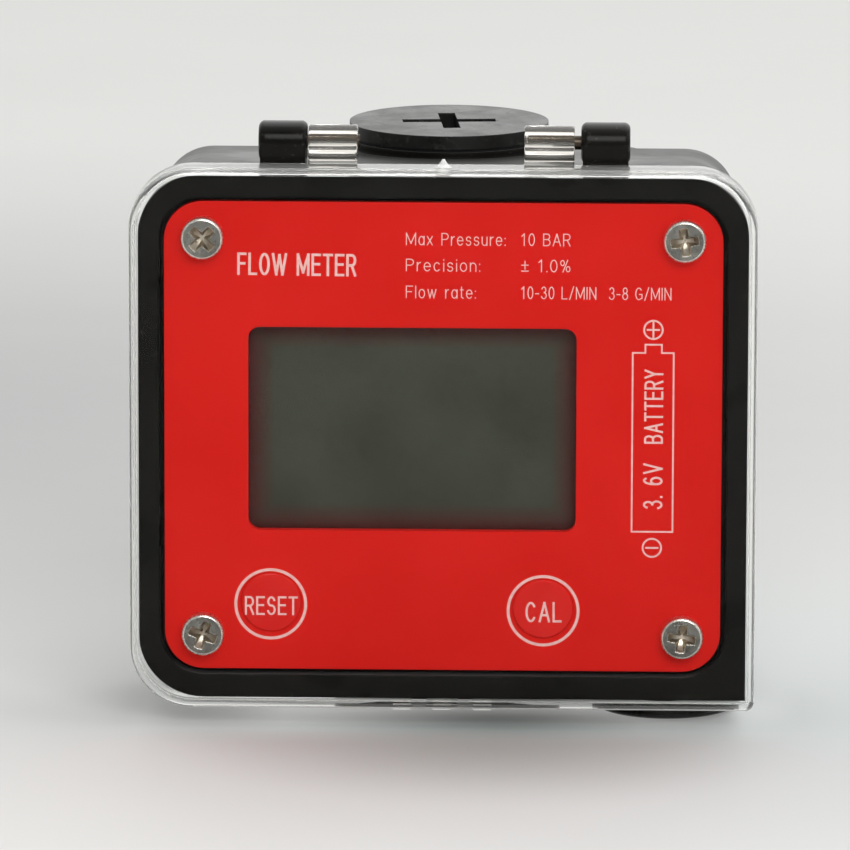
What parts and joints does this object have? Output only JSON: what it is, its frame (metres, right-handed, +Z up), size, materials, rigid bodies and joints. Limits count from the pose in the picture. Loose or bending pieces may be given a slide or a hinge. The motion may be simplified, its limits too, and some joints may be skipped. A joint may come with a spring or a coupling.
{
  "type": "in-line digital flow meter",
  "caption": "Vertical in-line flow meter: black body with a threaded bore, red display panel with press buttons, hinged clear cover, screw-in battery cap and port plug.",
  "frame": {"origin": "centre of the inlet port's mouth, on the pipe's lower face", "axes": "+Z up along the flow, -Y towards the reader of the display, +X to the reader's right"},
  "size_m": [0.0896, 0.0527, 0.0874],
  "materials": {
    "housing_black": "semi-gloss moulded nylon",
    "panel_red": "satin screen-printed plastic",
    "button_red": "satin moulded plastic",
    "screw_steel": "nickel plated",
    "window_pane": "tinted acrylic",
    "lcd_panel": "polariser over glass",
    "frame_white": "matte",
    "zebra_rubber": "matte",
    "board_green": "solder mask",
    "chip_black": "matte",
    "sensor_glass": "glossy",
    "clear_plastic": "polished clear plastic",
    "pin_brass": "drawn",
    "cell_sleeve": "printed shrink sleeve",
    "spring_steel": "bright wire",
    "seal_rubber": "matte",
    "cap_black": "semi-gloss moulded nylon",
    "ring_steel": "spring steel",
    "strainer_white": "matte",
    "cartridge_grey": "matte",
    "bearing_bronze": "sintered",
    "rotor_white": "matte",
    "magnet_grey": "ground"
  },
  "bodies": {
    "housing": {"main_housing": "housing_black", "panel_gasket": "seal_rubber", "face_panel": "panel_red", "face_screws": "screw_steel", "lcd_window": "window_pane", "lcd_glass": "lcd_panel", "lcd_frame": "frame_white", "zebra_strips": "zebra_rubber", "main_board": "board_green", "board_screws": "screw_steel", "controller_chip": "chip_black", "pulse_sensor": "sensor_glass", "board_capacitor": "chip_black", "reset_switch": "chip_black", "cal_switch": "chip_black", "hinge_pin_left": "pin_brass", "hinge_pin_right": "pin_brass", "battery_terminal": "pin_brass", "retaining_ring": "ring_steel", "inlet_strainer": "strainer_white", "lower_spider": "cartridge_grey", "rotor_sleeve": "cartridge_grey", "upper_spider": "cartridge_grey", "lower_bearing": "bearing_bronze", "upper_bearing": "bearing_bronze"},
    "cover": {"clear_cover": "clear_plastic"},
    "reset_key": {"reset_button": "button_red", "reset_plunger": "chip_black"},
    "cal_key": {"cal_button": "button_red", "cal_plunger": "chip_black"},
    "battery_stack": {"battery": "cell_sleeve", "battery_spring": "spring_steel", "battery_cap_seal": "seal_rubber"},
    "battery_lid": {"battery_cap": "cap_black"},
    "plug_seal": {"port_plug_gasket": "seal_rubber"},
    "outlet_plug": {"port_plug": "cap_black"},
    "rotor": {"turbine_rotor": "rotor_white", "rotor_shaft": "spring_steel", "rotor_magnets": "magnet_grey"}
  },
  "joints": [
    {"name": "cover_hinge", "type": "hinge", "parent": "housing", "child": "cover", "pos_m": [0, -0.02775, 0.0845], "axis": [-1, 0, 0], "range_deg": [0, 180]},
    {"name": "reset_press", "type": "slide", "parent": "housing", "child": "reset_key", "axis": [0, 1, 0], "range_m": [0, 0.0005], "stiffness_N_per_m": 1500},
    {"name": "cal_press", "type": "slide", "parent": "housing", "child": "cal_key", "axis": [0, 1, 0], "range_m": [0, 0.0005], "stiffness_N_per_m": 1500},
    {"name": "cap_drop", "type": "slide", "parent": "housing", "child": "battery_stack", "axis": [0, 0, -1], "range_m": [0, 0.0076]},
    {"name": "cap_turn", "type": "hinge", "parent": "battery_stack", "child": "battery_lid", "pos_m": [0.0321, -0.0178, 0.004], "axis": [0, 0, -1], "range_deg": [0, 1800]},
    {"name": "plug_lift", "type": "slide", "parent": "housing", "child": "plug_seal", "axis": [0, 0, 1], "range_m": [0, 0.0161]},
    {"name": "plug_turn", "type": "hinge", "parent": "plug_seal", "child": "outlet_plug", "pos_m": [0, 0, 0.0807], "axis": [0, 0, 1], "range_deg": [0, 3175]},
    {"name": "rotor_spin", "type": "hinge", "parent": "housing", "child": "rotor", "pos_m": [0, 0, 0.035], "axis": [0, 0, 1], "continuous": true}
  ],
  "couplings": [
    {"joint": "cap_drop", "follows": "cap_turn", "m_per_rad": 0.00023873},
    {"joint": "plug_lift", "follows": "plug_turn", "m_per_rad": 0.00028871}
  ]
}
